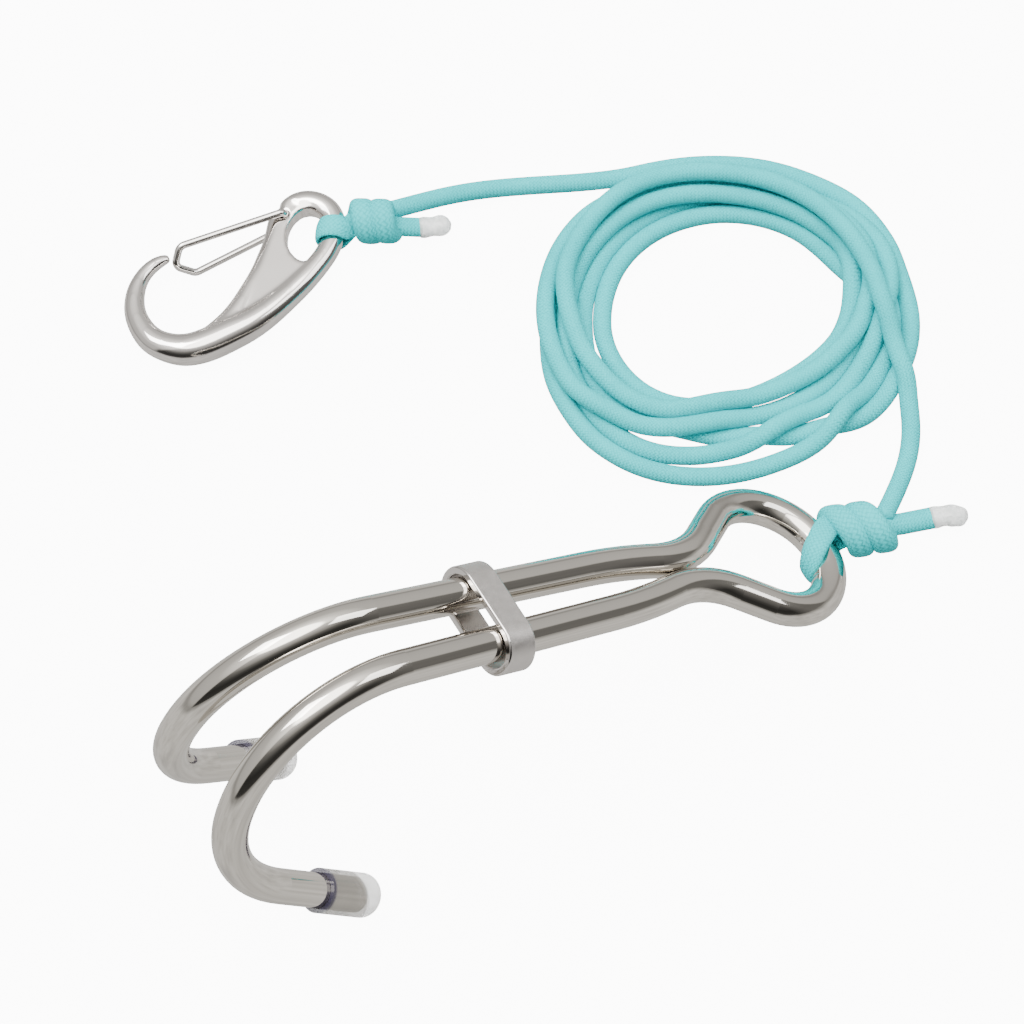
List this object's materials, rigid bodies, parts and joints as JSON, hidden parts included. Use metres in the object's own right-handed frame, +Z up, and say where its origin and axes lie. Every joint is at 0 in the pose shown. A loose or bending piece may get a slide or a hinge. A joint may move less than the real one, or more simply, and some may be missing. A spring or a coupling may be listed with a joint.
{
  "type": "grapnel anchor",
  "caption": "Double reef hook bent from one steel rod, with a sliding keeper, soft tip guards and a braided cord that ends in a spring-gate snap.",
  "frame": {"origin": "centre of the footprint of the hook with its keeper and tip guards, on the surface it lies on", "axes": "+X from the hooks towards the eye, +Y across the two shanks, +Z up"},
  "size_m": [0.1648, 0.1332, 0.0607],
  "materials": {
    "polished_rod": "mirror-polished stainless steel",
    "satin_band": "satin stainless steel with polished rims",
    "clear_vinyl": "clear soft vinyl",
    "braided_cord": "fine diagonal braid, turquoise",
    "clear_seal": "clear plastic skin over the melted cord end",
    "cast_snap": "polished cast stainless steel",
    "gate_wire": "polished spring wire"
  },
  "bodies": {
    "hook_and_line": {"hook_rod": "polished_rod", "line_hook_loop": "braided_cord", "line_hook_knot": "braided_cord", "line_hook_tail": "braided_cord", "line_hook_seal": "clear_seal", "line_lead_hook": "braided_cord", "line_coil": "braided_cord", "line_lead_snap": "braided_cord", "line_snap_knot": "braided_cord", "line_snap_loop": "braided_cord", "line_snap_tail": "braided_cord", "line_snap_seal": "clear_seal", "snap_body": "cast_snap"},
    "keeper": {"keeper_band": "satin_band"},
    "guard_left": {"tip_guard_left": "clear_vinyl"},
    "guard_right": {"tip_guard_right": "clear_vinyl"},
    "gate": {"snap_gate": "gate_wire"}
  },
  "joints": [
    {"name": "keeper_slide", "type": "slide", "parent": "hook_and_line", "child": "keeper", "axis": [-0.8656, 0, 0.5008], "range_m": [-0.044, 0.0125]},
    {"name": "guard_left_pull", "type": "slide", "parent": "hook_and_line", "child": "guard_left", "axis": [0.6345, 0.1067, -0.7656], "range_m": [0, 0.01]},
    {"name": "guard_right_pull", "type": "slide", "parent": "hook_and_line", "child": "guard_right", "axis": [0.6345, -0.1067, -0.7656], "range_m": [0, 0.01]},
    {"name": "gate_hinge", "type": "hinge", "parent": "hook_and_line", "child": "gate", "pos_m": [0.0123, 0.1092, 0.0035], "axis": [0, 0, 1], "range_deg": [0, 28], "stiffness_Nm_per_rad": 0.06, "springref_deg": -8.59}
  ]
}
